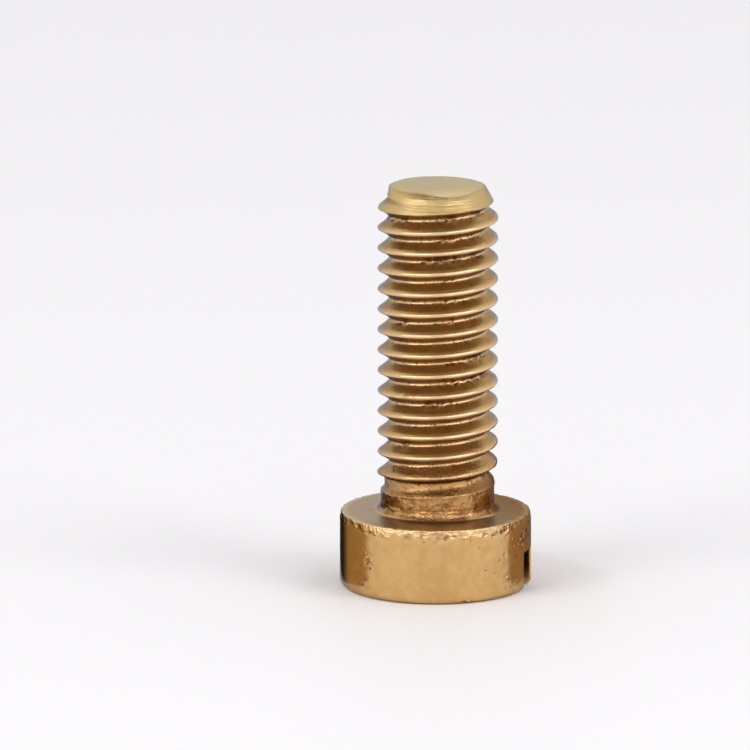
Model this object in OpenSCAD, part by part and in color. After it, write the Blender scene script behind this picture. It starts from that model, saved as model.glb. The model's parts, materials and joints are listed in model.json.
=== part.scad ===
// Slotted cheese head screw, turned from one piece of brass bar.
// It stands on its head, slot down and tip up, with the slot along X.
// The origin is at the middle of the head's slotted face. Sizes are in millimetres.

/* [Head] */
// Diameter of the head
head_d = 9.25; // [8.5:0.05:10.5]
// Height of the head, from the slotted face to the bearing face
head_h = 3.7; // [3.2:0.1:4.5]
// Radius that rounds the edge round the slotted face
face_edge_r = 0.35; // [0.1:0.05:0.6]
// Radius that breaks the edge round the bearing face
bearing_edge_r = 0.1; // [0.05:0.01:0.3]

/* [Slot] */
// Width of the screwdriver slot
slot_w = 1.6; // [1:0.1:2]
// Depth of the screwdriver slot
slot_t = 1.95; // [1.2:0.05:2.4]

/* [Shank] */
// Length under the head, from the bearing face to the tip
shank_l = 16; // [10:1:25]
// Diameter of the plain neck between the head and the thread
neck_d = 5.5; // [5.3:0.05:5.8]
// Length of the plain neck
neck_l = 1; // [0.6:0.1:3]
// Radius of the fillet where the neck meets the bearing face
neck_fillet_r = 0.25; // [0.1:0.05:0.4]

/* [Thread] */
// Diameter over the thread crests
thread_d = 5.8; // [5.6:0.05:6]
// Rise of the thread in one turn
pitch = 1; // [0.75:0.05:1.25]
// Depth of the thread groove, from crest to root
thread_depth = 0.52; // [0.35:0.01:0.6]
// Length over which the groove fades out towards the neck
runout_l = 1.1; // [0.5:0.1:2]
// Angle about the axis at which a crest reaches the tip
thread_start = 207; // [0:1:359]

/* [Tip] */
// Diameter of the flat end
tip_d = 4.65; // [4:0.05:4.7]
// Length of the chamfer between the flat end and the full thread
tip_chamfer_l = 1.1; // [0.4:0.1:2]

/* [Hidden] */
brass = [0.79, 0.63, 0.38];
head_r = head_d / 2;
neck_r = neck_d / 2;
crest_r = thread_d / 2;
bearing_z = head_h;
neck_top_z = bearing_z + neck_l;
tip_z = bearing_z + shank_l;

// Flat widths of a metric thread's crest and root, as shares of the pitch
crest_flat = 1 / 8;
root_flat = 1 / 5;

// The threaded rod starts this far inside the neck, and is this much thinner than it there
rod_sink = 0.3;
rod_step = 0.03;
rod_foot_z = neck_top_z - rod_sink;

// Places of the crest's and the root's two edges within one pitch, where 0 is mid-crest
edge_phases = [
    -crest_flat / 2,
    crest_flat / 2,
    0.5 - root_flat / 2,
    0.5 + root_flat / 2
];
edges = len(edge_phases);
turn_steps = 48;

// Whole pitches below the tip at which the rows of points begin, and the number of rows
pitches_down = ceil((tip_z - rod_foot_z) / pitch) + 2;
rows = edges * (pitches_down + 2);

// Rows that come nearer than this to the rod's foot or tip are put on it,
// and rows that come nearer than this to the neck's top are put this far above it
snap = pitch / 100;

arc_steps = 8;
overcut = 1;

// Points of an arc about a centre, from one angle to another
function arc(centre, radius, from, to) = [
    for (i = [0 : arc_steps])
        let (a = from + (to - from) * i / arc_steps)
        centre + radius * [cos(a), sin(a)]
];

// Goes smoothly from 0 to 1 as t goes from 0 to 1, and stays there outside
function smooth_step(t) =
    let (u = min(max(t, 0), 1))
    u * u * (3 - 2 * u);

// Distance from mid-crest as a share of the pitch, from 0 at a crest to 0.5 at a root
function crest_distance(turn, z) =
    let (phase = (z - tip_z) / pitch - turn)
    abs(phase - round(phase));

// Radius of the endless thread: flat crest, straight flank, flat root
function thread_radius(turn, z) =
    let (
        flank = 0.5 - crest_flat / 2 - root_flat / 2,
        t = (crest_distance(turn, z) - crest_flat / 2) / flank
    )
    crest_r - thread_depth * min(max(t, 0), 1);

// Radius of the tip's chamfer cone
function chamfer_radius(z) = tip_d / 2 + (crest_r - tip_d / 2) * (tip_z - z) / tip_chamfer_l;

// Radius of the rod: the thread fades into the neck below and is cut by the chamfer above
function rod_radius(turn, z) =
    let (
        full = smooth_step((z - neck_top_z) / runout_l),
        plain = neck_r - rod_step
    )
    min(plain + (thread_radius(turn, z) - plain) * full, chamfer_radius(z));

// Height of a row of points at a share of a turn, kept between the rod's foot and tip
function row_z(row, turn) =
    let (
        whole = floor(row / edges) - pitches_down,
        z = tip_z + pitch * (whole + edge_phases[row % edges] + turn)
    )
    z > tip_z - snap ? tip_z
        : z < rod_foot_z + snap ? rod_foot_z
        : abs(z - neck_top_z) < snap ? neck_top_z + snap
        : z;

function rod_point(row, step) =
    let (
        turn = step / turn_steps,
        z = row_z(row, turn),
        r = rod_radius(turn, z)
    )
    [r * cos(360 * turn), r * sin(360 * turn), z];

// Number of a point: the column after the last is the first column one pitch higher
function rod_index(row, step) =
    step < turn_steps
        ? row * turn_steps + step
        : min(row + edges, rows - 1) * turn_steps;

// Rod with a right-hand thread: rows of points climb with the thread's crests and roots
module threaded_rod() {
    points = [
        for (row = [0 : rows - 1])
            for (step = [0 : turn_steps - 1])
                rod_point(row, step)
    ];
    lower_faces = [
        for (row = [0 : rows - 2])
            for (step = [0 : turn_steps - 1])
                [rod_index(row, step), rod_index(row + 1, step + 1), rod_index(row, step + 1)]
    ];
    upper_faces = [
        for (row = [0 : rows - 2])
            for (step = [0 : turn_steps - 1])
                [rod_index(row, step), rod_index(row + 1, step), rod_index(row + 1, step + 1)]
    ];
    foot = [for (step = [0 : turn_steps - 1]) rod_index(0, step)];
    tip = [for (step = [turn_steps - 1 : -1 : 0]) rod_index(rows - 1, step)];
    rotate([0, 0, thread_start])
        polyhedron(points = points, faces = concat(lower_faces, upper_faces, [foot, tip]));
}

// Half section of the head and the neck, turned about the axis
module head_and_neck() {
    half_section = concat(
        [[0, 0]],
        arc([head_r - face_edge_r, face_edge_r], face_edge_r, -90, 0),
        arc([head_r - bearing_edge_r, bearing_z - bearing_edge_r], bearing_edge_r, 0, 90),
        arc([neck_r + neck_fillet_r, bearing_z + neck_fillet_r], neck_fillet_r, 270, 180),
        [[neck_r, neck_top_z], [0, neck_top_z]]
    );
    rotate_extrude($fn = 96)
        polygon(half_section);
}

// Straight-sided screwdriver slot, sawn right across the face
module slot() {
    translate([0, 0, (slot_t - overcut) / 2])
        cube([head_d + 2 * overcut, slot_w, slot_t + overcut], center = true);
}

module screw() {
    color(brass)
        union() {
            difference() {
                head_and_neck();
                slot();
            }
            threaded_rod();
        }
}

screw();
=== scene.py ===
import json
import math

import bpy
import numpy as np
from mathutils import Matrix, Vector


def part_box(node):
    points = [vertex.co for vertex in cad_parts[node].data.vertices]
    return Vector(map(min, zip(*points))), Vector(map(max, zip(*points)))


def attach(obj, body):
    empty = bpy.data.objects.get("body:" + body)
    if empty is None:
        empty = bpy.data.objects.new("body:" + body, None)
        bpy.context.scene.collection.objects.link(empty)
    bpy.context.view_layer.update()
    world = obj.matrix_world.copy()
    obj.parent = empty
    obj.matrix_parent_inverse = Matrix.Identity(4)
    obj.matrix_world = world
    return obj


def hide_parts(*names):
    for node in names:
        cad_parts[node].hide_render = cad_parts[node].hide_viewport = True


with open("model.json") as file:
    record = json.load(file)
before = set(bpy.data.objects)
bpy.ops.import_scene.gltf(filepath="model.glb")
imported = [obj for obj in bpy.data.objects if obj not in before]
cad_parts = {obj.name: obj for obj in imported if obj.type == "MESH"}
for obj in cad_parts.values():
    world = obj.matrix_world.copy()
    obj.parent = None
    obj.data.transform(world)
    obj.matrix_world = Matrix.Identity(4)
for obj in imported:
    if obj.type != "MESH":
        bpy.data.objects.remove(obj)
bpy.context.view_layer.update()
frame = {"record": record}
mounts = {mount["name"]: mount for mount in frame["record"]["mounts"]}


# The screw's sizes, in millimetres. It is one piece of brass, turned and threaded from bar
# and tumbled afterwards. It stands on its slotted face, with its tip up and its slot along X.
MM = 0.001
tip_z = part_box("screw")[1][2] / MM
head_r = mounts["head_rim"]["dims"]["r_mm"]
head_h = mounts["bearing_face"]["pos_m"][2] / MM
crest_r = mounts["thread"]["dims"]["r_mm"]
face_edge_r = 0.35
bearing_edge_r = 0.1
slot_w = 1.6
slot_t = 1.95
slot_edge_r = 0.06
slot_corner_r = 0.1
slot_burr = 0.022
neck_r = 2.75
neck_l = 1.0
neck_fillet_r = 0.36
shank_shift = 0.1
view_azimuth = 13.0
camera_side = view_azimuth - 90
lattice_cells = 32


def lattice_noise(points, size, seed):
    """Smooth noise from -1 to 1: random values on a cubic lattice, blended by 3t^2 - 2t^3."""
    table = np.random.default_rng(seed).uniform(-1, 1, [lattice_cells] * 3)
    cell = np.floor(points / size).astype(int)
    t = points / size - cell
    t = t * t * (3 - 2 * t)
    total = np.zeros(len(points))
    for corner in np.ndindex(2, 2, 2):
        share = np.prod(np.where(corner, t, 1 - t), axis=1)
        i, j, k = ((cell + corner) % lattice_cells).T
        total += share * table[i, j, k]
    return total


def smooth_step(t):
    """0 below 0, 1 above 1, and 3t^2 - 2t^3 between."""
    t = np.clip(t, 0, 1)
    return t * t * (3 - 2 * t)


def smooth_min(a, b, width):
    """The lesser of a and b, with their crossing rounded over that width."""
    h = np.clip(0.5 + 0.5 * (b - a) / width, 0, 1)
    return b + (a - b) * h - width * h * (1 - h)


def angle_gap(angle, centre):
    """Degrees from centre to angle, the short way round, from -180 to 180."""
    return (angle - centre + 180) % 360 - 180


# The head: a plain round drum, rounded at the slotted face's edge and sharper at the other. Columns
# of points run from the face's outline, slot ends included, up the side and over to the neck.
columns = 256
stations = columns // 2
face_steps, edge_steps, wall_steps, corner_steps, floor_steps = 38, 3, 9, 3, 22
chord_steps = 44
chord_gather = 0.45
side_rows = 34
rim_rows = 18
rim_h = 0.6
ring_rows = 14
fillet_rows = 10
neck_rows = 24
burr_start = 0.985
wall_margin = 0.01
even_out_rate = 1.1


def quarter(steps, start, end):
    """Angles in radians from start to end degrees, without the last one."""
    return np.radians(np.linspace(start, end, steps, endpoint=False))


def face_section():
    """The slotted face cut along Y, rim to rim: flat, slot edge, wall, corner and floor, mirrored."""
    half, edge, corner = slot_w / 2, slot_edge_r, slot_corner_r
    face_r = head_r - face_edge_r
    reach = np.linspace(0, math.acos((half + edge) / face_r), face_steps, endpoint=False)
    bend = quarter(edge_steps, 0, 90)
    turn = quarter(corner_steps, 0, 90)
    y = [
        face_r * np.cos(reach),
        half + edge * (1 - np.sin(bend)),
        np.full(wall_steps, half),
        half - corner * (1 - np.cos(turn)),
        np.linspace(half - corner, 0, floor_steps // 2, endpoint=False),
    ]
    z = [
        np.zeros(face_steps),
        edge * (1 - np.cos(bend)),
        np.linspace(edge, slot_t - corner, wall_steps, endpoint=False),
        slot_t - corner * (1 - np.sin(turn)),
        np.full(floor_steps // 2, slot_t),
    ]
    y, z = np.concatenate(y), np.concatenate(z)
    return np.concatenate([-y, [0], y[::-1]]), np.concatenate([z, [slot_t], z[::-1]])


def side_radius(z):
    """The head's radius at a height: straight, with an arc at the lower and at the upper edge."""
    low = np.clip(face_edge_r - z, 0, face_edge_r)
    high = np.clip(z - (head_h - bearing_edge_r), 0, bearing_edge_r)
    low_in = face_edge_r - np.sqrt(face_edge_r**2 - low**2)
    high_in = bearing_edge_r - np.sqrt(bearing_edge_r**2 - high**2)
    return head_r - low_in - high_in


def grid_faces(index):
    """Quads between the rows and columns of an array of point numbers."""
    return np.stack(
        [index[:-1, :-1], index[:-1, 1:], index[1:, 1:], index[1:, :-1]], axis=-1
    ).reshape(-1, 4)


station_y, station_z = face_section()
half_chord = np.sqrt(np.maximum(side_radius(station_z) ** 2 - station_y**2, 0))
across = np.linspace(-1, 1, chord_steps + 1)[:, None]
across = across * (1 + chord_gather - chord_gather * across**2)
lip = slot_burr * smooth_step((np.abs(across) - burr_start) / (1 - burr_start))
lip = lip * (np.abs(station_y) < slot_w / 2 + wall_margin)
face_points = np.stack(
    [
        across * half_chord,
        station_y + np.sign(station_y) * lip,
        np.broadcast_to(station_z, (chord_steps + 1, stations + 1)),
    ],
    axis=-1,
)

# Going round the outline: along the slotted face's +X side and back along its -X side
rim = np.concatenate([face_points[-1], face_points[0, -2:0:-1]])
rim_turn = np.arange(columns) / columns
rim_angle = np.degrees(np.arctan2(rim[:, 1], rim[:, 0]))
top_angle = -90 + 360 * rim_turn
rim_angle = top_angle + angle_gap(rim_angle, top_angle)

arc_rows = 8
climb = np.concatenate(
    [
        face_edge_r * (1 - np.cos(quarter(arc_rows, 0, 90))),
        np.linspace(face_edge_r, head_h - rim_h, side_rows, endpoint=False),
        np.linspace(head_h - rim_h, head_h - bearing_edge_r, rim_rows, endpoint=False),
        head_h - bearing_edge_r * (1 - np.sin(quarter(arc_rows // 2, 0, 90))),
        [head_h],
    ]
)
share = (climb / head_h)[:, None]
side_z = rim[:, 2] + (head_h - rim[:, 2]) * share
side_angle = np.radians(rim_angle + (top_angle - rim_angle) * smooth_step(share * even_out_rate))
side_points = np.stack(
    [
        side_radius(side_z) * np.cos(side_angle),
        side_radius(side_z) * np.sin(side_angle),
        side_z,
    ],
    axis=-1,
)

fillet = quarter(fillet_rows, 270, 180)
foot_r = neck_r + neck_fillet_r
ring_r = np.concatenate(
    [
        np.linspace(head_r - bearing_edge_r, foot_r, ring_rows + 1)[1:-1],
        foot_r + neck_fillet_r * np.cos(fillet),
        np.full(neck_rows + 1, neck_r),
    ]
)
ring_z = np.concatenate(
    [
        np.full(ring_rows - 1, head_h),
        head_h + neck_fillet_r * (1 + np.sin(fillet)),
        head_h + np.linspace(neck_fillet_r, neck_l, neck_rows + 1),
    ]
)
top_turn = np.radians(top_angle)
neck_points = np.stack(
    [
        ring_r[:, None] * np.cos(top_turn),
        ring_r[:, None] * np.sin(top_turn),
        np.broadcast_to(ring_z[:, None], (len(ring_z), columns)),
    ],
    axis=-1,
)


# The shank: a right-hand metric thread, cut from the tip down to a plain neck. Rows of points climb
# with the crests; the groove fades out near the neck and the tip's chamfer cuts the first turn.
pitch = 1.0
root_r = 2.36
thread_start = 228.0
crest_flat = 0.15
root_flat = 0.2
crest_round = 0.05
root_round = 0.35
runout_start = 0.35
runout_l = 0.6
thread_lean = 0.035
groove_end_l = 1.2
groove_end_lead = 0.17
groove_end_round = 0.03
first_groove_l = 0.8
tip_r = 2.28
chamfer_l = 1.2
cone_round = 0.04
tip_edge = 0.12
tip_sag = 0.1
tip_sag_angle = -112.0
tip_sag_spread = 32.0
turn_rows = 14
row_gather = 0.6
disc_rows = 16
ring_gather = 1.6
rim_drop_power = 10
weld_steps_per_mm = 1e4


def eased(t, crest_width, root_width):
    """t kept between 0 and 1, with the corner at 0 and the corner at 1 rounded over those widths."""
    t = 0.5 * (t + np.sqrt(t * t + crest_width**2))
    return 1 - 0.5 * (1 - t + np.sqrt((1 - t) ** 2 + root_width**2))


def thread_phase(turn, z):
    """Pitches above the nearest crest on that side of the shank, from -0.5 to 0.5."""
    phase = (z - tip_z) / pitch - turn + (thread_start + 90) / 360
    return phase - np.round(phase)


def groove_share(phase):
    """0 on a crest and 1 at a root: a ramp between them, with both its ends rounded."""
    away = np.abs(phase + thread_lean * np.cos(2 * math.pi * phase))
    away = np.minimum(away, 1 - away)
    flank = 0.5 - crest_flat / 2 - root_flat / 2
    crest_end, root_end, t = (
        eased((gap - crest_flat / 2) / flank, crest_round, root_round) for gap in (0, 0.5, away)
    )
    return (t - crest_end) / (root_end - crest_end)


def tip_drop(turn):
    """How far the tip's rim lies below the flat end: a round edge, and a sag near the thread's start."""
    near = np.exp(-((angle_gap(360 * turn - 90, tip_sag_angle) / tip_sag_spread) ** 2))
    return tip_edge + tip_sag * near


def rod_radius(turn, z):
    """The thread, faded into the neck below and cut by the tip's cone above."""
    above = z - head_h - neck_l
    outer = neck_r + (crest_r - neck_r) * smooth_step((above - runout_start) / runout_l)
    phase = thread_phase(turn, z)
    groove = groove_share(phase) * smooth_step((tip_z - z) / first_groove_l)
    thread = outer - (outer - root_r) * groove
    groove_above = above - pitch * (phase - np.sign(phase) / 2)
    groove_floor = neck_r - (neck_r - root_r) * smooth_step(
        (groove_above + groove_end_lead) / groove_end_l
    )
    thread = -smooth_min(-thread, -groove_floor, groove_end_round)
    cone = tip_r + (crest_r - tip_r) * (tip_z - z) / chamfer_l
    return np.where(above > 0, smooth_min(thread, cone, cone_round), neck_r)


rod_foot = head_h + neck_l
pitches_down = math.ceil((tip_z - rod_foot) / pitch) + 2
phase = np.arange(turn_rows) / turn_rows
phase = phase - row_gather * np.sin(4 * math.pi * phase) / (4 * math.pi)
phase = phase - thread_lean * np.cos(2 * math.pi * phase)
whole = np.arange(pitches_down + 2) - pitches_down
row_phase = (whole[:, None] + phase).ravel()[:, None]
crest_shift = -(thread_start + 90) / 360
rod_z = tip_z + pitch * (row_phase + crest_shift % 1 - 1 + rim_turn)
rod_top = tip_z - tip_drop(rim_turn)
snap = pitch / 200
rod_z = np.where(rod_z > rod_top - snap, rod_top, rod_z)
rod_z = np.where(rod_z < rod_foot + snap, rod_foot, rod_z)
rod_r = rod_radius(rim_turn, rod_z)
rod_points = np.stack([rod_r * np.cos(top_turn), rod_r * np.sin(top_turn), rod_z], axis=-1)

# The flat end: rings from the rim to the middle, rounded down at the rim
inward = np.linspace(1, 0, disc_rows + 1)[1:, None]
inward = 1 - (1 - inward) ** ring_gather
end_z = tip_z - tip_drop(rim_turn) * inward**rim_drop_power
end_points = np.stack(
    [
        inward * rod_r[-1] * np.cos(top_turn),
        inward * rod_r[-1] * np.sin(top_turn),
        end_z,
    ],
    axis=-1,
)


def joined_grids():
    """All grids as one closed surface: points, and faces as quads of point numbers."""
    parts = [face_points, side_points, neck_points, rod_points, end_points]
    starts = np.cumsum([0] + [part.size // 3 for part in parts])
    face, side, neck, rod, end = (
        start + np.arange(part.size // 3).reshape(part.shape[:2])
        for start, part in zip(starts, parts)
    )
    turn = np.vstack([side, neck])
    turn = np.hstack([turn, turn[:, :1]])
    shifted = np.minimum(np.arange(len(rod)) + turn_rows, len(rod) - 1)
    rod = np.hstack([rod, rod[shifted, :1]])
    end = np.vstack([rod[-1, :-1], end])
    end = np.hstack([end, end[:, :1]])
    faces = [grid_faces(face)[:, ::-1], grid_faces(turn), grid_faces(rod), grid_faces(end)]
    return np.concatenate([part.reshape(-1, 3) for part in parts]), np.concatenate(faces)


def welded(points, quads):
    """Points that coincide become one, and a face that had one of them twice loses that corner."""
    key = np.round(points * weld_steps_per_mm).astype(np.int64)
    _, first, back = np.unique(key, axis=0, return_index=True, return_inverse=True)
    quads = back.reshape(-1)[quads]
    twice = quads == np.roll(quads, -1, axis=1)
    whole = quads[~twice.any(axis=1)]
    once = twice.sum(axis=1) == 1
    triangles = quads[once][~twice[once]].reshape(-1, 3)
    return points[first], whole, triangles


points, quads, triangles = welded(*joined_grids())
screw_mesh = bpy.data.meshes.new("turned_screw")
screw_mesh.from_pydata(points, [], quads.tolist() + triangles.tolist())
normals = np.empty(len(points) * 3)
screw_mesh.vertices.foreach_get("normal", normals)
normals = normals.reshape(-1, 3)


# Wear in the brass itself: tumbling has left it slightly uneven, dented its edges and pitted the
# head in clusters, and the neck and the last turns of the thread are torn. Angles are in degrees
# round the screw from the side that faces the camera, positive to the camera's right.
angle = np.degrees(np.arctan2(points[:, 1], points[:, 0]))
radius = np.hypot(points[:, 0], points[:, 1])
height = points[:, 2]
from_camera = angle_gap(angle, camera_side)
dent_lip = 0.8
bearing_pit_r = 3.16
facet_angle = 20
facet_start = 1.45
facet_slope = 0.25
facet_round = 0.05


def rising(values, start, over):
    """0 up to start, 1 from start + over, and a smooth step between."""
    return smooth_step((values - start) / over)


def fading(values, start, over):
    """1 up to start, 0 from start + over, and a smooth step between."""
    return 1 - rising(values, start, over)


def peak(values, centre, width):
    """exp(-d^2), with d the distance from the centre over the width."""
    return np.exp(-(((values - centre) / width) ** 2))


def uneven(places, *layers):
    """Sum of lattice noises, each with its height, the size of its lumps and its seed."""
    return sum(tall * lattice_noise(places, size, seed) for tall, size, seed in layers)


def place_on(camera_angle, level, at_radius):
    """The point that far round from the side that faces the camera, at that height and radius."""
    turn = np.radians(camera_side + camera_angle)
    return np.array([at_radius * np.cos(turn), at_radius * np.sin(turn), level])


def bowls(table, at_radius, near):
    """Sum of dents with raised lips: -(1 - dent_lip d^2) exp(-d^2) each, with d in dent sizes."""
    total = np.zeros(len(points))
    close = points[near]
    for camera_angle, level, size, depth in table:
        d2 = ((close - place_on(camera_angle, level, at_radius)) ** 2).sum(axis=1) / size**2
        total[near] -= depth * (1 - dent_lip * d2) * np.exp(-d2)
    return total


def scattered(seed, count, middle, spread, level, rise, sizes, steepness):
    """Random dents round one place, each at most steepness times its size deep."""
    rng = np.random.default_rng(seed)
    around = middle + spread * rng.normal(size=count)
    up = level + rise * rng.normal(size=count)
    size = rng.uniform(*sizes, count)
    return zip(around, up, size, size * rng.uniform(0.4, 1, count) * steepness)


def along_rim(seed, count, level, rise, sizes, steepness):
    """Random dents all round an edge of the head, with crowded stretches and bare ones."""
    rng = np.random.default_rng(seed)
    around = rng.uniform(-180, 180, count)
    crowd = np.sin(np.radians(around * 3 + 40)) + np.sin(np.radians(around * 7 + 100))
    keep = rng.uniform(-1.6, 1.2, count) < crowd
    size = rng.uniform(*sizes, count)
    up = level + rise * rng.normal(size=count)
    deep = size * rng.uniform(0.3, 1, count) * steepness
    return zip(around[keep], up[keep], size[keep], deep[keep])


def streaks(table):
    """Sum of spots drawn out round the screw, each with its angle, level, length and height."""
    total = np.zeros(len(points))
    for camera_angle, level, length, tall in table:
        along = np.radians(angle_gap(from_camera, camera_angle)) * radius
        total += peak(along, 0, length) * peak(height, level, tall)
    return total


on_head = rising(radius, head_r - 0.5, 0.3)
on_neck = rising(height, head_h + 0.02, 0.08) * (radius < foot_r)
on_tip = rising(height, tip_z - 0.9, 0.3)
off_end = radius > tip_r + 0.01
threaded = rising(height, rod_foot, 0.3)
torn = on_neck * fading(height, rod_foot + 1, 1.4)

pits = [
    *scattered(11, 18, -45.5, 3.2, 1.95, 0.3, (0.07, 0.12), 0.45),
    *scattered(12, 8, -50, 3, 0.85, 0.15, (0.06, 0.1), 0.5),
    *scattered(13, 30, 68, 8, 2.75, 0.3, (0.08, 0.14), 0.4),
    *scattered(14, 18, 38, 7, 1.9, 0.5, (0.05, 0.1), 0.6),
    *scattered(19, 7, 47.5, 0.7, 1.0, 0.3, (0.05, 0.09), 0.7),
    *scattered(20, 1, -15, 0.5, 0.1, 0.02, (0.06, 0.08), 0.5),
    *scattered(21, 3, 16, 2, 0.1, 0.02, (0.05, 0.08), 0.4),
    *scattered(15, 70, 180, 50, 1.9, 0.9, (0.06, 0.13), 0.4),
    *along_rim(16, 600, head_h - 0.2, 0.16, (0.09, 0.17), 0.3),
    *along_rim(17, 80, head_h - 0.35, 0.2, (0.08, 0.14), 0.3),
    *along_rim(18, 130, 0.2, 0.12, (0.06, 0.12), 0.25),
]
dented = bowls(pits, head_r, on_head > 0.1)
rise = uneven(points, (0.004, 1.1, 1), (0.002, 0.4, 2)) + dented

# A scratch down the head's side, a slight taper near its bearing edge, and a pit beside the neck
scratch = peak(from_camera, 46.5, 1.2) * (0.6 + uneven(points, (0.4, 0.5, 5)))
rise -= on_head * (0.02 * scratch + 0.05 * rising(height, head_h - 0.5, 0.5))
rise += bowls([(-88, head_h, 0.13, 0.08)], bearing_pit_r, height > head_h - 0.3)

# The torn neck, uneven in streaks that run round it, with one groove, and a finely uneven thread
layered = points * (1, 1, 2.5)
rise += torn * uneven(layered, (0.026, 0.9, 6), (0.014, 0.35, 7))
rise -= 0.015 * on_neck * peak(height, head_h + 0.47, 0.06)
rise += threaded * uneven(points, (0.004, 0.3, 8))

# The tip: a dent at the left, a ridge round the front and three nicks in the rim
rise -= 0.18 * peak(from_camera, -95, 20) * peak(height, tip_z - 0.45, 0.2)
ridge = peak(height, tip_z - 0.36, 0.06) * (0.7 + uneven(points, (0.6, 0.4, 15)))
rise += 0.035 * ridge * fading(np.abs(from_camera), 70, 40)
rise += on_tip * uneven(points, (0.012, 0.7, 13), (0.003, 0.25, 14))
rim_nicks = [(121, tip_z, 0.14, 0.09), (133, tip_z, 0.1, 0.05), (-75, tip_z, 0.12, 0.05)]
rise += bowls(rim_nicks, tip_r, on_tip > 0)

# Lumps of dirt that fill the thread's roots here and there
groove_depth = (crest_r - radius) / (crest_r - root_r)
lumps = uneven(points, (0.5, 0.13, 10)) + uneven(points * (1, 1, 0.6), (0.9, 1.1, 12))
crusted = threaded * off_end * rising(groove_depth, 0.75, 0.2) * rising(lumps, 0.45, 0.3)
rise += 0.035 * crusted
shaped = points + normals * rise[:, None]

# The tip's flat end is worn down towards the front right, in a shallow facet
facing = np.radians(camera_side + facet_angle)
outward = shaped[:, 0] * np.cos(facing) + shaped[:, 1] * np.sin(facing) - facet_start
facet = tip_z - facet_slope / 2 * (outward + np.sqrt(outward**2 + facet_round))
highest = np.where(height > tip_z - 1, facet, tip_z)
shaped[:, 2] = np.clip(shaped[:, 2], 0, highest)

# The shank stands off the head's middle, towards the camera's right, and less so at the tip
aside = np.radians(camera_side + 90)
shift = shank_shift * (height > head_h - 0.02) * fading(radius, head_r - 1.3, 1.2)
shift *= 1 - 0.4 * rising(height, tip_z - 1.5, 1.5)
shaped[:, 0] += shift * np.cos(aside)
shaped[:, 1] += shift * np.sin(aside)
screw_mesh.vertices.foreach_set("co", (shaped * MM).ravel())

dirt_spots = [
    (27, 17.4, 0.12, 0.08),
    (55, 16.4, 0.5, 0.1),
    (-88, 11.4, 0.12, 0.15),
    (45, 10.6, 0.5, 0.06),
    (-48, 9.6, 0.3, 0.06),
    (2, 8.6, 0.12, 0.06),
    (-22, 5.4, 0.1, 0.08),
    (-50, 18.6, 0.5, 0.06),
    (124, 19.64, 0.3, 0.08),
]
rust_spots = [
    (50, 16.5, 0.5, 0.25),
    (58, 17.1, 0.3, 0.2),
    (40, 7.1, 0.5, 0.2),
    (-30, 9.9, 0.6, 0.2),
]
nicked_spots = [
    (-45, 1.95, 0.32, 0.42),
    (-50, 0.7, 0.4, 0.2),
    (65, 2.7, 0.8, 0.5),
    (49, 1.0, 0.25, 0.6),
    (-15, 0.12, 0.15, 0.08),
    (2, 0.12, 0.12, 0.08),
    (16, 0.12, 0.5, 0.08),
]
ragged = head_h - 0.38 + uneven(points, (0.14, 0.5, 3), (0.12, 0.25, 9))
ragged -= 0.15 * peak(from_camera, -36, 12)
scuffed_right = rising(from_camera, 44, 5) * fading(from_camera, 60, 60)
scuffed_rear = 0.4 * rising(np.abs(from_camera), 100, 60)
cone = tip_r + (crest_r - tip_r) * (tip_z - height) / chamfer_l
in_thread = threaded * off_end * rising(cone - radius, 0.02, 0.06)
on_flank = in_thread * rising(groove_depth, 0, 0.2) * (1 - 0.8 * rising(groove_depth, 0.85, 0.12))
between_walls = (np.abs(points[:, 1]) < slot_w / 2 + wall_margin) * (height < slot_t + 0.05)
on_ring = (radius > foot_r - 0.1) * (radius < head_r - bearing_edge_r - 0.05)
faces_up = normals[:, 2]

# One number from 0 to 1 per point under each name, for the material to read
marks = {
    "dirt": streaks(dirt_spots) * threaded,
    "rust": streaks(rust_spots) * threaded,
    "nicked": streaks(nicked_spots) * on_head,
    "scuffed": on_head * (scuffed_right + scuffed_rear),
    # The thread's left as the camera sees it, for painted shade
    "tarnish": threaded * peak(from_camera, -95, 40),
    "end_flat": on_tip * rising(faces_up, 0.9, 0.08),
    # The worn facet at the tip, for a painted highlight
    "end_bevel": on_tip * rising(height - facet, 0.01, 0.12),
    "crud": crusted,
    "groove": in_thread * groove_depth,
    "flank": on_flank,
    "last_flank": on_flank * rising(faces_up, 0.25, 0.3) * fading(height, rod_foot + 0.55, 0.2),
    # Flanks that face down, for the painted shade under the crests
    "underside": on_flank * rising(-faces_up, 0, 0.6),
    "crest": threaded * rising(radius, crest_r - 0.06, 0.04),
    "peened": on_head * rising(height - ragged, 0, 0.1),
    "pit": (-dented - 0.008) / 0.03,
    "lip": (dented - 0.002) / 0.008,
    "torn": torn,
    "neck": on_neck * fading(height, rod_foot + 0.25, 0.2),
    "worn_low": on_neck * fading(height, rod_foot + 0.8, 1.4),
    "cut_end": (height > tip_z - chamfer_l - 0.1) * (1 - in_thread),
    # Inside the slot, short of its outer ends, for painted shade
    "in_slot": between_walls * (radius < head_r - 0.05) * rising(height, 0.15, 0.4),
    "bearing": (height > head_h - 0.02) * on_ring,
}
for name, values in marks.items():
    layer = screw_mesh.attributes.new(name, "FLOAT", "POINT")
    layer.data.foreach_set("value", np.clip(values, 0, 1).astype(np.float32))
screw_mesh.update()
screw_mesh.shade_smooth()
screw_mesh.set_sharp_from_angle(angle=math.radians(45))
screw = bpy.data.objects.new("turned_screw", screw_mesh)
bpy.context.scene.collection.objects.link(screw)
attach(screw, "root")
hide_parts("screw")
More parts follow.
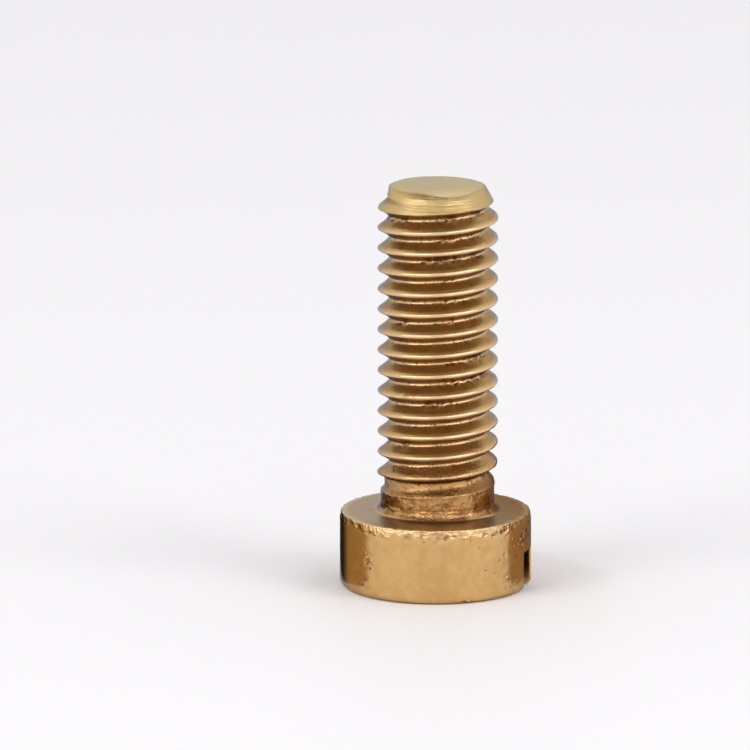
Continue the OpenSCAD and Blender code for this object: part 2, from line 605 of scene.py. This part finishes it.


# Bare brass: a warm tan metal with a satin polish, duller down in the thread, with fine scuffs all
# over, dark specks in the roots and brighter, crumpled metal where it has been struck. Painted shade
# makes the thread's flanks browner, darker under the crests and greyer on the left, and darkens the
# slot, dents and nicks. Painted highlights light the roots, dent rims, tip facet and glints among the
# nicks, and the crests, which are partly burnished metal as well.
class Socket:
    """A node's output. Arithmetic on it adds Math nodes, so that a mask is written as a formula."""

    def __init__(self, tree, output):
        self.tree = tree
        self.output = output

    def new(self, kind, settings=None, inputs=None, out=0):
        """Adds a node with its settings and its inputs by name or number, each a value or a Socket."""
        node = self.tree.nodes.new(kind)
        for name, value in (settings or {}).items():
            setattr(node, name, value)
        for name, value in (inputs or {}).items():
            if isinstance(value, Socket):
                self.tree.links.new(value.output, node.inputs[name])
            else:
                node.inputs[name].default_value = value
        return Socket(self.tree, node.outputs[out])

    def math(self, operation, *values):
        return self.new("ShaderNodeMath", {"operation": operation}, dict(enumerate(values)))

    def __add__(self, other):
        return self.math("ADD", self, other)

    def __sub__(self, other):
        return self.math("SUBTRACT", self, other)

    def __rsub__(self, other):
        return self.math("SUBTRACT", other, self)

    def __mul__(self, other):
        return self.math("MULTIPLY", self, other)

    __radd__ = __add__
    __rmul__ = __mul__

    def between(self, low, high):
        """0 at low, 1 at high and a smooth step between."""
        return self.new(
            "ShaderNodeMapRange",
            {"interpolation_type": "SMOOTHSTEP"},
            {"Value": self, "From Min": low, "From Max": high},
        )

    def tint(self, colour, other):
        """The colour where this mask is 0, and the other colour where it is 1."""
        return self.new(
            "ShaderNodeMix", {"data_type": "RGBA"}, {0: self, 6: colour, 7: other}, out=2
        )


def rgb(red, green, blue):
    """A colour as seen on screen, 0 to 255, as a linear one."""
    linear = [
        c / 12.92 if c <= 0.04045 else ((c + 0.055) / 1.055) ** 2.4
        for c in (red / 255, green / 255, blue / 255)
    ]
    return (*linear, 1)


brass = bpy.data.materials.new("tumbled_brass")
brass.use_nodes = True
tree = brass.node_tree
shader = tree.nodes["Principled BSDF"]
place = Socket(tree, tree.nodes.new("ShaderNodeTexCoord").outputs["Object"])
# Object coordinates are in metres, so this puts them in millimetres
place = place.new("ShaderNodeVectorMath", {"operation": "SCALE"}, {0: place, "Scale": 1 / MM})


def noise(size, detail=3.0, rough=0.55):
    """Noise whose lumps are about that many millimetres across, from 0 to 1."""
    return place.new(
        "ShaderNodeTexNoise",
        inputs={"Vector": place, "Scale": 1 / size, "Detail": detail, "Roughness": rough},
    )


def mask(name):
    """The numbers stored on the mesh's points under that name."""
    return place.new("ShaderNodeAttribute", {"attribute_name": name}, out=2)


groove, flank, last_flank, underside = map(mask, ("groove", "flank", "last_flank", "underside"))
crest, neck, worn_low, torn_brass = map(mask, ("crest", "neck", "worn_low", "torn"))
bearing, struck, pit, lip = map(mask, ("bearing", "peened", "pit", "lip"))
dirt, rust, crud, tarnish = map(mask, ("dirt", "rust", "crud", "tarnish"))
nicked, scuffed, in_slot = map(mask, ("nicked", "scuffed", "in_slot"))
cut_end, end_flat, end_bevel = map(mask, ("cut_end", "end_flat", "end_bevel"))
axial = place.new("ShaderNodeSeparateXYZ", inputs={0: place}, out=2)
cloud = noise(2.2).between(0.35, 0.65)
mottle = noise(0.35, 4.0, 0.6).between(0.35, 0.7)
patches = noise(0.8, 3.0, 0.55).between(0.42, 0.62)
grain = noise(0.06, 5.0, 0.65)
specks = noise(0.14, 4.0, 0.7).between(0.56, 0.62)
stain = noise(0.9, 3.0, 0.6).between(0.52, 0.68)
# Small nicks among the clusters, dented by the bump and darkened as painted shade
scratchy = noise(0.17, 2.0, 0.6) + nicked * 0.16
nick = scratchy.between(0.69, 0.74) * nicked.between(0.05, 0.3)
# Bright specks among the nicks, painted as glints, with a slight bump
shiny = 1.0 - noise(0.2, 2.0, 0.6) + nicked * 0.14
glint = shiny.between(0.67, 0.73) * nicked.between(0.05, 0.3)
flattened = (0.5, 0.5, 14)
stretched = place.new("ShaderNodeVectorMath", {"operation": "MULTIPLY"}, {0: place, 1: flattened})
turning = place.new(
    "ShaderNodeTexNoise",
    inputs={"Vector": stretched, "Scale": 1.0, "Detail": 3.0, "Roughness": 0.6},
)

khaki = axial.between(4.0, 19.0) * 0.7 + cloud * 0.3
colour = khaki.tint(rgb(211, 170, 112), rgb(206, 178, 124))
neck_colour = patches.tint(rgb(184, 140, 90), rgb(136, 96, 56))

# From the bare metal up: how far each layer covers what is under it, and its colour
layers = [
    (mottle * 0.25, rgb(190, 148, 92)),
    (patches * 0.35, rgb(192, 146, 86)),
    (worn_low * 0.8, rgb(194, 150, 104)),
    (neck * 0.9, neck_colour),
    (bearing * 0.85, rgb(200, 166, 112)),
    # Painted shade: the flanks between the crests browner, as shade falls down in the thread
    (flank * 0.9 * (1 - worn_low * 0.5), rgb(180, 143, 84)),
    # Painted shade under each crest, on the flanks that face down
    (underside * 0.85, rgb(112, 76, 30)),
    (flank * stain * 0.5, rgb(166, 106, 62)),
    # Painted highlight along the thread's roots
    (groove.between(0.85, 1.0) * 0.8, rgb(220, 180, 136)),
    (last_flank * 0.8, rgb(136, 94, 52)),
    # The crests lighter: burnished metal, and a painted highlight
    (crest * 0.85 * (1 - worn_low * 0.7), rgb(236, 200, 154)),
    # Painted shade: the thread greyer and darker on its left as the camera sees it, where it is seen
    # edge-on
    (tarnish * (1 - cut_end) * 0.4, rgb(150, 122, 92)),
    (rust * mottle * 0.8, rgb(140, 70, 50)),
    (groove.between(0.7, 0.95) * specks * 0.8, rgb(70, 42, 24)),
    (crud * 0.75, rgb(104, 62, 38)),
    (torn_brass * specks * 0.5, rgb(112, 76, 40)),
    ((dirt * grain * 2.2).between(0.4, 1.0), rgb(84, 48, 32)),
    # Painted shade inside the slot
    (in_slot * 0.85, rgb(84, 48, 20)),
    (struck * 0.65, rgb(240, 206, 152)),
    # Painted highlight on the raised rims of the dents
    (lip * grain * 0.6, rgb(246, 216, 166)),
    # Painted shade in the dents
    (pit * (0.7 - struck * 0.4), rgb(112, 72, 36)),
    (scuffed * mottle * 0.6, rgb(226, 188, 136)),
    # Painted glints among the nicks
    (glint * 0.8, rgb(248, 222, 176)),
    # Painted shade in the small nicks
    (nick * 0.85, rgb(96, 60, 30)),
    (cut_end * 0.85, rgb(204, 176, 122)),
    (end_flat, rgb(232, 202, 136)),
    # Painted highlight on the worn facet at the tip, in streaks along the turning marks
    (end_bevel * (turning * 1.2).between(0.3, 0.9), rgb(250, 226, 178)),
]
for cover, tone in layers:
    colour = cover.tint(colour, tone)
roughness = 0.14 + mottle * 0.05 + turning * 0.05 + bearing * 0.14
roughness = roughness + cut_end * 0.16 + flank * 0.12 + crest * 0.02
dents = place.new(
    "ShaderNodeTexVoronoi", {"feature": "SMOOTH_F1"}, {"Vector": place, "Scale": 1 / 0.16}
)
crumple = noise(0.18, 2.0, 0.5)
# The bump's height is in millimetres
height_map = grain * (0.001 - bearing * 0.001) + noise(0.5, 2.0, 0.5) * 0.004
height_map = height_map + turning * (cut_end * 0.018 + 0.004)
height_map = height_map + struck * (dents * 0.03 + crumple * 0.065) + torn_brass * crumple * 0.04
height_map = height_map + scuffed * crumple * 0.02 + glint * 0.02 - nick * 0.03
bump = place.new(
    "ShaderNodeBump", inputs={"Strength": 1.0, "Distance": MM, "Height": height_map}
)
tree.links.new(colour.output, shader.inputs["Base Color"])
tree.links.new(roughness.output, shader.inputs["Roughness"])
tree.links.new(bump.output, shader.inputs["Normal"])
shader.inputs["Metallic"].default_value = 1.0
shader.inputs["Specular Tint"].default_value = (0.5, 0.6, 0.76, 1)
screw_mesh.materials.append(brass)


# The floor: a wide pale matt table that the screw stands on, close to white in the photograph.
floor_reach = 3.0
floor_mesh = bpy.data.meshes.new("floor")
floor_mesh.from_pydata(
    [(x * floor_reach, y * floor_reach, 0) for x, y in ((-1, -1), (1, -1), (1, 1), (-1, 1))],
    [],
    [(0, 1, 2, 3)],
)
floor = bpy.data.objects.new("floor", floor_mesh)
bpy.context.scene.collection.objects.link(floor)
paper = bpy.data.materials.new("pale_table")
paper.use_nodes = True
paper_shader = paper.node_tree.nodes["Principled BSDF"]
paper_shader.inputs["Base Color"].default_value = rgb(249, 248, 249)
paper_shader.inputs["Roughness"].default_value = 0.6
floor_mesh.materials.append(paper)


# The light: a pale studio with a dimmer ceiling, and two wide soft lamps in front, left and right.
# Coloured cards beside the head, and two bright strips further off, are seen only in reflections.
def direction(azimuth, elevation):
    """Unit vector towards a place round the screw. Azimuth 0 is in front of it, towards -Y."""
    a, e = math.radians(azimuth), math.radians(elevation)
    return Vector((math.sin(a) * math.cos(e), -math.cos(a) * math.cos(e), math.sin(e)))


def soft_lamp(name, azimuth, elevation, distance, width, watts):
    """A square lamp that faces the screw."""
    lamp = bpy.data.lights.new(name, "AREA")
    lamp.size = width
    lamp.energy = watts
    holder = bpy.data.objects.new(name, lamp)
    bpy.context.scene.collection.objects.link(holder)
    out = direction(azimuth, elevation)
    holder.location = out * distance + Vector((0, 0, tip_z / 2 * MM))
    holder.rotation_mode = "QUATERNION"
    holder.rotation_quaternion = (-out).to_track_quat("-Z", "Y")
    holder.visible_glossy = False


soft_lamp("lamp_left", view_azimuth - 52, 34, 0.5, 0.26, 0.66)
soft_lamp("lamp_right", view_azimuth + 58, 38, 0.5, 0.26, 0.66)

world = bpy.data.worlds.new("studio")
bpy.context.scene.world = world
world.use_nodes = True
world_tree = world.node_tree
background = world_tree.nodes["Background"]
look = Socket(world_tree, world_tree.nodes.new("ShaderNodeTexCoord").outputs["Generated"])
rise_of_look = look.new("ShaderNodeSeparateXYZ", inputs={0: look}, out=2)
ceiling = rise_of_look.between(0.72, 0.97)
sky = ceiling.tint(rgb(246, 245, 246), rgb(120, 120, 124))
world_tree.links.new(sky.output, background.inputs["Color"])
background.inputs["Strength"].default_value = 1.04


def card(name, stops, low, high, strength=1.0):
    """An upright bent card, seen only in reflections. Each stop is a place, in mm right of and
    behind the axis as the camera sees it, and the colour there."""
    a = math.radians(view_azimuth)
    foot = [
        (x * math.cos(a) - y * math.sin(a), x * math.sin(a) + y * math.cos(a))
        for x, y, _ in stops
    ]
    card_points = [(x * MM, y * MM, z * MM) for x, y in foot for z in (low, high)]
    panes = [(i, i + 1, i + 3, i + 2) for i in range(0, 2 * len(stops) - 2, 2)]
    colours = np.repeat([colour for _, _, colour in stops], 2, axis=0)
    mesh = bpy.data.meshes.new(name)
    mesh.from_pydata(card_points, [], panes)
    layer = mesh.attributes.new("colour", "FLOAT_COLOR", "POINT")
    layer.data.foreach_set("color", colours.ravel())
    panel = bpy.data.objects.new(name, mesh)
    bpy.context.scene.collection.objects.link(panel)
    panel.visible_camera = False
    panel.visible_diffuse = False
    panel.visible_shadow = False
    finish = bpy.data.materials.new(name)
    finish.use_nodes = True
    card_shader = finish.node_tree.nodes["Principled BSDF"]
    card_shader.inputs["Base Color"].default_value = (0, 0, 0, 1)
    card_shader.inputs["Specular IOR Level"].default_value = 0.0
    painted = finish.node_tree.nodes.new("ShaderNodeAttribute")
    painted.attribute_name = "colour"
    finish.node_tree.links.new(painted.outputs["Color"], card_shader.inputs["Emission Color"])
    card_shader.inputs["Emission Strength"].default_value = strength
    mesh.materials.append(finish)


white = rgb(250, 250, 250)
brown = rgb(184, 154, 112)
umber = rgb(56, 38, 26)
tan = rgb(172, 140, 106)
left_stops = [
    (-5.9, -3.55, white),
    (-5.8, -2.95, brown),
    (-5.35, -1.0, brown),
    (-5.3, -0.1, umber),
    (-5.6, 5.0, umber),
]
card("card_left", left_stops, 0.05, 4.2)
card("card_right", [(2.4, 9.6, tan), (8.5, 2.6, tan)], 0.05, 7.5)
card("card_right_front", [(6.4, 2.6, tan), (5.7, -2.5, tan), (5.6, -3.3, white)], 0.05, 4.6)
card("strip_left", [(-145, -39, white), (-39, -145, white)], 40, 87, 3.0)
card("strip_right", [(39, -145, white), (145, -39, white)], 40, 87, 3.0)


# The camera: nearly level, a little above the screw and 13 degrees to the right of a view square
# to its slot, with a long lens. Its framing is in the photograph's pixels.
photo_side = 750
axis_x, tip_y, head_y = 435.6, 184.5, 584.2
pixels_per_mm = 20.75
sensor_width = 36.0
camera_elevation = 12.2
camera_distance = 450.0
back = direction(view_azimuth, camera_elevation)
right = Vector((0, 0, 1)).cross(back).normalized()
up = back.cross(right)
middle = Vector((0, 0, tip_z / 2))
middle_y = (tip_y + head_y) / 2
target = middle + right * (photo_side / 2 - axis_x) / pixels_per_mm
target = target + up * (middle_y - photo_side / 2) / pixels_per_mm
lens = bpy.data.cameras.new("camera")
lens.sensor_width = sensor_width
lens.lens = sensor_width * camera_distance / (photo_side / pixels_per_mm)
lens.clip_start = 0.01
lens.clip_end = 20
camera = bpy.data.objects.new("camera", lens)
bpy.context.scene.collection.objects.link(camera)
camera.location = (target + back * camera_distance) * MM
camera.rotation_mode = "QUATERNION"
camera.rotation_quaternion = (-back).to_track_quat("-Z", "Y")
bpy.context.scene.camera = camera
bpy.context.scene.view_settings.view_transform = "Standard"
